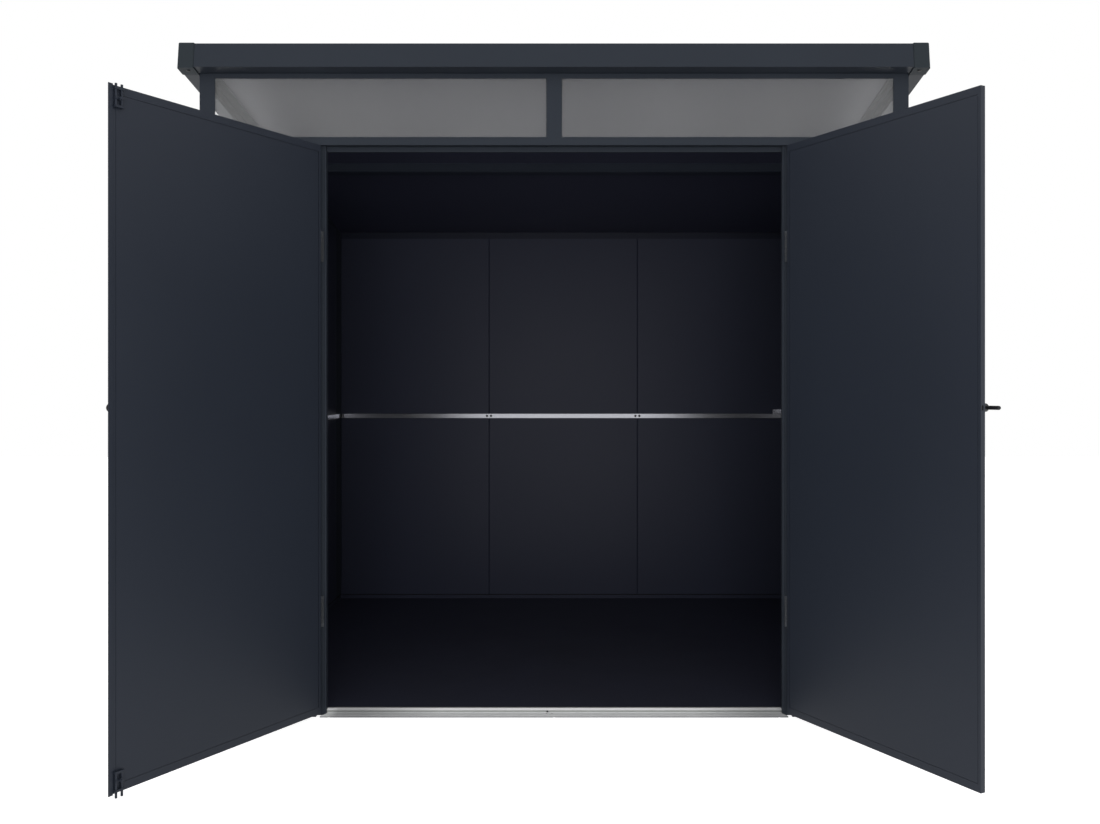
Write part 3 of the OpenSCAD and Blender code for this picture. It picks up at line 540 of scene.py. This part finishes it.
def screw_row_tree():
    """Edges in, rows of screws out."""
    sizes = {"Spacing": 0.3, "Head radius": 0.0055, "Head height": 0.003}
    tree, given, ends = begin_tree("screw_rows", "Rows", sizes, "Screws")
    curve = add(tree, "GeometryNodeMeshToCurve")
    steps = add(tree, "GeometryNodeResampleCurve", mode="LENGTH")
    head = add(tree, "GeometryNodeMeshCone", {"Vertices": head_sides})
    narrow = add(tree, "ShaderNodeMath", {1: top_share}, operation="MULTIPLY")
    washer = add(tree, "GeometryNodeMeshCylinder", {"Vertices": washer_sides, "Depth": washer_t})
    wide = add(tree, "ShaderNodeMath", {1: washer_share}, operation="MULTIPLY")
    joined = add(tree, "GeometryNodeJoinGeometry")
    facing = add(tree, "GeometryNodeInputNamedAttribute", {"Name": "out"}, data_type="FLOAT_VECTOR")
    turned = add(tree, "FunctionNodeAlignRotationToVector", axis="Z")
    stand = add(tree, "GeometryNodeInstanceOnPoints")
    link(tree, given, "Rows", curve, "Mesh")
    link(tree, curve, "Curve", steps, "Curve")
    link(tree, given, "Spacing", steps, "Length")
    link(tree, given, "Head radius", head, "Radius Bottom")
    link(tree, given, "Head radius", narrow, 0)
    link(tree, narrow, 0, head, "Radius Top")
    link(tree, given, "Head height", head, "Depth")
    link(tree, given, "Head radius", wide, 0)
    link(tree, wide, 0, washer, "Radius")
    link(tree, head, "Mesh", joined, 0)
    link(tree, washer, "Mesh", joined, 0)
    link(tree, facing, "Attribute", turned, "Vector")
    link(tree, steps, "Curve", stand, "Points")
    link(tree, joined, "Geometry", stand, "Instance")
    link(tree, turned, "Rotation", stand, "Rotation")
    end_tree(tree, stand, "Instances", given, ends, "Screws")
    return tree

screw_rows = screw_row_tree()
print("tree:", screw_rows.name, len(screw_rows.nodes), "nodes")

# %% [markdown]
# A tree needs something to grow on. Bare edges are made for it, each point carrying its `out`, the tree
# runs as a modifier, and what it gives is kept as a plain mesh. The edges are thrown away, so the piece
# that stays has its place in its mesh and rides on one body of the shed.

# %% Bare edges in, a plain mesh out
def grown(name, tree, rows, values, body):
    """Runs a node tree on rows of (points, out) and keeps the result as one piece."""
    mesh = bpy.data.meshes.new(name)
    points, edges, ways_out = [], [], []
    for line, out in rows:
        first = len(points)
        points += [tuple(p) for p in line]
        edges += [(first + i, first + i + 1) for i in range(len(line) - 1)]
        ways_out += [tuple(out)] * len(line)
    mesh.from_pydata(points, edges, [])
    layer = mesh.attributes.new("out", "FLOAT_VECTOR", "POINT")
    layer.data.foreach_set("vector", [v for out in ways_out for v in out])
    seed_piece = bpy.data.objects.new(name + "_rows", mesh)
    bpy.context.scene.collection.objects.link(seed_piece)
    grow = seed_piece.modifiers.new("grow", "NODES")
    grow.node_group = tree
    for item in tree.interface.items_tree:
        if item.in_out == "INPUT" and item.name in values:
            grow[item.identifier] = values[item.name]
    result = seed_piece.evaluated_get(bpy.context.evaluated_depsgraph_get())
    plain = bpy.data.meshes.new_from_object(result)
    seed_piece.modifiers.remove(grow)
    bpy.data.objects.remove(seed_piece)
    piece = bpy.data.objects.new(name, plain)
    bpy.context.scene.collection.objects.link(piece)
    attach(piece, body)
    print(name, "faces:", len(plain.polygons))

# %% [markdown]
# The rows run where hands would put them: outside along the base rail and under the band rail, up the
# rear corners, and across the roof sheets where they rest on the ledge and on the purlin. The main view
# shows none of them, but the shed is looked at from all sides.

# %% Rows on the walls
rail_middle, row_end = 0.022, 0.06
corner_out, corner_low, corner_high = 0.05, 0.08, 1.80
side_low, side_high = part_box("side_panels_right")
back_low, back_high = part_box("back_panel_middle")
low_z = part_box("base_rails")[1].z + rail_middle
high_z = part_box("band_rail_left")[0].z - rail_middle
wall_rows = []
for side in (-1, 1):
    x = side * side_high.x
    for z in (low_z, high_z):
        line = ((x, side_low.y + row_end, z), (x, side_high.y - row_end, z))
        wall_rows.append((line, (side, 0, 0)))
    y = side_high.y + corner_out
    wall_rows.append((((x, y, corner_low), (x, y, corner_high)), (side, 0, 0)))
for z in (low_z, back_high.z - rail_middle):
    for name in ("back_panel_left", "back_panel_middle", "back_panel_right"):
        low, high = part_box(name)
        line = ((low.x + row_end, back_high.y, z), (high.x - row_end, back_high.y, z))
        wall_rows.append((line, (0, 1, 0)))
grown("wall_screws", screw_rows, wall_rows,
      {"Spacing": 0.32, "Head radius": 0.0045, "Head height": 0.003, "Finish": frame_coat}, "frame")

# %% [markdown]
# The roof slopes down from the front edge to the gutter at the back. Places on it are easier to say in
# the roof's own terms, metres down the slope and metres above it, and one function turns those into
# places in the shed. Its fall, depth, width and the height of its front edge are the CAD model's own
# sizes. Each sheet has ribs, so a row of screws has three short stretches between them.

# %% Rows on the roof
roof_fall, roof_depth, roof_front_z = 0.289, 1.996, 2.102
roof_half_w, sheet_count = 1.155, 3
sheet_w = 2 * roof_half_w / sheet_count
pan_top = 0.0356
rows_down = (0.075, 0.978, 1.935)
stretches = ((0.06, 0.20), (0.32, 0.45), (0.57, 0.70))
pitch = math.atan(roof_fall / roof_depth)
front_edge = Vector((0, -roof_depth / 2, roof_front_z))

def on_roof(x, down, up):
    """A point of the roof's own frame: metres down the slope and square to it."""
    return Vector((x, front_edge.y + down * math.cos(pitch) + up * math.sin(pitch),
                   front_edge.z - down * math.sin(pitch) + up * math.cos(pitch)))

roof_up = on_roof(0, 0, 1) - front_edge
roof_rows = []
for sheet in range(sheet_count):
    left = -roof_half_w + sheet * sheet_w
    for down in rows_down:
        for start, end in stretches:
            line = (on_roof(left + start, down, pan_top), on_roof(left + end, down, pan_top))
            roof_rows.append((line, roof_up))
grown("roof_screws", screw_rows, roof_rows,
      {"Spacing": 0.13, "Head radius": 0.005, "Head height": 0.0035, "Finish": frame_coat}, "frame")

# %% [markdown]
# One black screw closes each corner cap from below. It shows in the main view as a dark dot under both
# ends of the fascia. Two long rows do it, each with a spacing as long as the row, so only its ends
# count.

# %% Screws under the corner caps
cap_screw_x, cap_screw_in, cap_underside = 1.1805, 0.0205, -0.0042
roof_run = roof_depth / math.cos(pitch)
cap_rows = []
for down in (cap_screw_in, roof_run - cap_screw_in):
    line = [on_roof(side * cap_screw_x, down, cap_underside) for side in (-1, 1)]
    cap_rows.append((line, -roof_up))
grown("cap_screws", screw_rows, cap_rows,
      {"Spacing": 2 * cap_screw_x, "Head radius": 0.0042, "Head height": 0.002,
       "Finish": black_lacquer}, "frame")

# %% [markdown]
# Between two roof sheets is a gap of a millimetre under the folded seam. A real roof has sealant in it,
# or daylight would show from inside. A thin bar per joint does, built from its eight corners.

# %% Sealant in the roof joints
def roof_bars(name, bars, finish):
    """Boxes lying on the roof's slope, each given as (x, down, up) of two opposite corners."""
    mesh = bpy.data.meshes.new(name)
    shape = bmesh.new()
    for low, high in bars:
        corners = [shape.verts.new(on_roof(x, down, up))
                   for up in (low[2], high[2]) for down in (low[1], high[1]) for x in (low[0], high[0])]
        for face in ((0, 2, 3, 1), (4, 5, 7, 6), (0, 1, 5, 4), (2, 6, 7, 3), (0, 4, 6, 2), (1, 3, 7, 5)):
            shape.faces.new([corners[i] for i in face])
    bmesh.ops.recalc_face_normals(shape, faces=shape.faces)
    shape.to_mesh(mesh)
    shape.free()
    piece = bpy.data.objects.new(name, mesh)
    bpy.context.scene.collection.objects.link(piece)
    mesh.materials.append(finish)
    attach(piece, "frame")
    print(name, "bars:", len(bars))

joint_half = 0.00055
joint_start, joint_end = 0.050, 1.946
joint_low, joint_high = 0.0341, 0.0375
joints = [-roof_half_w + sheet * sheet_w for sheet in range(1, sheet_count)]
joint_bars = [((x - joint_half, joint_start, joint_low), (x + joint_half, joint_end, joint_high))
              for x in joints]
roof_bars("seam_sealant", joint_bars, roof_coat)

# %% [markdown]
# ## Rubber beads round the panes
# An acrylic pane moves with the sun, so it is held in a rubber bead rather than glued. The bead follows
# the outline of the pane: a curve with a small profile swept along it, which is one node.

# %% A tree that sweeps a bead along edges
bead_sides = 8

def bead_tree():
    """Edges in, a round bead along each of them out."""
    tree, given, ends = begin_tree("rubber_bead", "Outline", {"Bead radius": 0.0015}, "Bead")
    curve = add(tree, "GeometryNodeMeshToCurve")
    profile = add(tree, "GeometryNodeCurvePrimitiveCircle", {"Resolution": bead_sides})
    sweep = add(tree, "GeometryNodeCurveToMesh", {"Fill Caps": True})
    link(tree, given, "Outline", curve, "Mesh")
    link(tree, given, "Bead radius", profile, "Radius")
    link(tree, curve, "Curve", sweep, "Curve")
    link(tree, profile, "Curve", sweep, "Profile Curve")
    end_tree(tree, sweep, "Mesh", given, ends, "Bead")
    return tree

bead = bead_tree()
print("tree:", bead.name, len(bead.nodes), "nodes")

# %% [markdown]
# A front pane is a rectangle and a side pane is a wedge, so their outlines have four and three corners.
# The corners come from the boxes of the CAD panes, and the bead lies against the face that looks into
# the shed.

# %% Beads on the inner faces of the front panes and of the wedge panes
bead_r = 0.0013
top_play = 0.001

def outline(corners, out):
    """The edges round a pane, each as one row."""
    return [((corner, corners[(i + 1) % len(corners)]), out) for i, corner in enumerate(corners)]

bead_rows = []
for name in ("front_pane_left", "front_pane_right"):
    low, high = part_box(name)
    y, top = high.y + bead_r, high.z - top_play
    bead_rows += outline([(low.x, y, low.z), (high.x, y, low.z), (high.x, y, top), (low.x, y, top)],
                         (0, -1, 0))
for name in ("side_pane_left", "side_pane_right"):
    low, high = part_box(name)
    x = high.x + bead_r if name.endswith("left") else low.x - bead_r
    bead_rows += outline([(x, low.y, low.z), (x, high.y, low.z), (x, low.y, high.z)], (1, 0, 0))
grown("glazing_beads", bead, bead_rows, {"Bead radius": bead_r, "Finish": rubber}, "frame")

# %% [markdown]
# The same tree draws a dark rubber bead along the foot of the wall sheets, where they stand on the base
# rail: a dark line put there as painted shade, for the shadow where the sheets meet the rail. It is the
# dark line just above the floor at the back.

# %% A dark bead for painted shade along the foot of the walls
foot_r, foot_in = 0.0020, 0.02
foot_z, wall_y = back_low.z, back_low.y
wall_x, foot_front = side_low.x, side_low.y + foot_in
foot_rows = [(((-wall_x, wall_y, foot_z), (wall_x, wall_y, foot_z)), (0, -1, 0))]
foot_rows += [(((side * wall_x, foot_front, foot_z), (side * wall_x, wall_y, foot_z)), (-side, 0, 0))
              for side in (-1, 1)]
grown("foot_sealant", bead, foot_rows, {"Bead radius": foot_r, "Finish": rubber}, "frame")

# %% [markdown]
# ## Studio floor
# The room is plain and white. Its floor is pale paint that keeps the shed's shadow. It also glows, but
# only towards the camera, mirrors and panes, so it looks white and lights the shed no more than pale
# paint does.

# %% Floor
floor_half, floor_z = 12, -0.0004
floor_glow = 0.78
floor_corners = [(x * floor_half, y * floor_half, floor_z)
                 for x, y in ((-1, -1), (1, -1), (1, 1), (-1, 1))]
floor_mesh = bpy.data.meshes.new("studio_floor")
floor_mesh.from_pydata(floor_corners, [], [(0, 1, 2, 3)])
studio_floor = bpy.data.objects.new("studio_floor", floor_mesh)
bpy.context.scene.collection.objects.link(studio_floor)
pale = Finish("studio_floor")
pale.shade(base_color=paint(232, 232, 232), roughness=0.9)
ray = pale.tree.nodes.new("ShaderNodeLightPath")
seen = (Wire(pale, ray.outputs["Is Camera Ray"]) + Wire(pale, ray.outputs["Is Glossy Ray"])
        + Wire(pale, ray.outputs["Is Transmission Ray"]))
glow = pale.tree.nodes.new("ShaderNodeEmission")
pale.plug(glow.inputs["Strength"], seen.limited() * floor_glow)
both = pale.tree.nodes.new("ShaderNodeAddShader")
link(pale.tree, pale.shader, 0, both, 0)
link(pale.tree, glow, 0, both, 1)
link(pale.tree, both, 0, pale.output, 0)
floor_mesh.materials.append(pale.material)
print("floor:", 2 * floor_half, "m square")

# %% [markdown]
# ## The room's own light
# The world is what is seen past the floor. It is pure white to the camera, to panes and to mirrors, and
# a little less as a light on the shed, so that its pale parts don't clip.

# %% World
room_light = 0.80
room = bpy.data.worlds.new("white_room")
bpy.context.scene.world = room
room.use_nodes = True
air = room.node_tree
air.nodes.clear()
sky = add(air, "ShaderNodeBackground", {"Color": (1, 1, 1, 1)})
ways = add(air, "ShaderNodeLightPath")
direct = add(air, "ShaderNodeMath", operation="MAXIMUM")
shown = add(air, "ShaderNodeMath", operation="MAXIMUM")
level = add(air, "ShaderNodeMapRange", {"To Min": room_light, "To Max": 1.0})
world_output = add(air, "ShaderNodeOutputWorld")
link(air, ways, "Is Camera Ray", direct, 0)
link(air, ways, "Is Transmission Ray", direct, 1)
link(air, direct, 0, shown, 0)
link(air, ways, "Is Glossy Ray", shown, 1)
link(air, shown, 0, level, "Value")
link(air, level, "Result", sky, "Strength")
link(air, sky, 0, world_output, "Surface")
print("world:", room.name, "light", room_light)

# %% [markdown]
# ## Lamps
# The key lamp hangs behind the camera, which gives the soft pool of light on the back wall. Two side
# lamps wrap the open leaves, and one above lights the roof. The bare rail on the back wall is almost a
# mirror, and it should show the white room, not the lamp, so the key lamp is hidden from reflections.

# %% Lamps
def soft_lamp(name, place, target, size, watts, tint=(1, 1, 1)):
    """A rectangular lamp at one place, turned towards another."""
    lamp = bpy.data.lights.new(name, "AREA")
    lamp.shape = "RECTANGLE"
    lamp.size, lamp.size_y = size
    lamp.energy = watts
    lamp.color = tint
    holder = bpy.data.objects.new(name, lamp)
    holder.location = place
    holder.rotation_euler = (Vector(target) - Vector(place)).to_track_quat("-Z", "Y").to_euler()
    bpy.context.scene.collection.objects.link(holder)
    print(name, watts, "W")
    return holder

warm, cool = (0.99, 0.98, 0.96), (0.96, 0.98, 1.0)
key_lamp = soft_lamp("key_lamp", place=(0.1, -6.5, 1.35), target=(0, 0, 1.2), size=(1.4, 1.2),
                     watts=66, tint=warm)
key_lamp.visible_glossy = False
for side, name in ((-1, "left_lamp"), (1, "right_lamp")):
    soft_lamp(name, place=(side * 5.5, -4.5, 2.6), target=(side * 0.6, -1.0, 1.0), size=(3.0, 3.0),
              watts=20, tint=cool)
soft_lamp("top_lamp", place=(0, 2.0, 6.0), target=(0, 0, 1.0), size=(4.0, 4.0), watts=40)

# %% [markdown]
# ## The picture
# The Standard view shows a colour as it was written, which a product picture needs.

# %% Picture settings
view = bpy.context.scene.view_settings
view.view_transform = "Standard"
